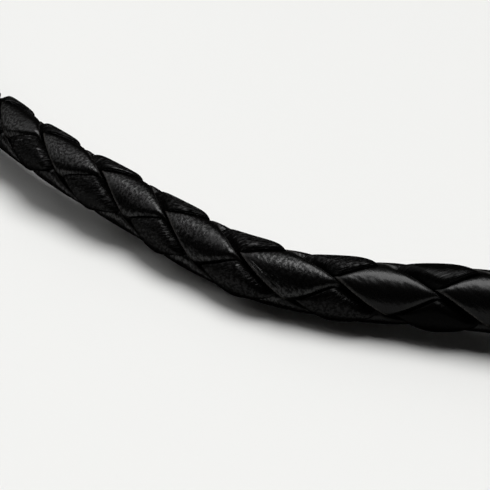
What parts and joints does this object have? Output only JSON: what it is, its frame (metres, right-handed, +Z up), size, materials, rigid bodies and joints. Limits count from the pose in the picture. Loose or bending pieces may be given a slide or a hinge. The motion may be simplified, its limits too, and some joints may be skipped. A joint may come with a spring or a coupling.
{
  "type": "braided leather cord necklace",
  "caption": "Necklace of round plaited black leather cord, closed into a loop by a plain metal barrel clasp and lying flat.",
  "frame": {"origin": "middle of the loop's bounding box, on the surface that the necklace lies on", "axes": "+Z up, away from the surface; the front of the necklace towards -Y and its clasp towards +Y"},
  "size_m": [0.1526, 0.1441, 0.006],
  "materials": {
    "leather": "black grained leather, satin on the rounds and dull on the cut edges",
    "metal": "brushed"
  },
  "bodies": {
    "root": {"plaited_cord": "leather", "clasp": "metal"}
  },
  "joints": []
}
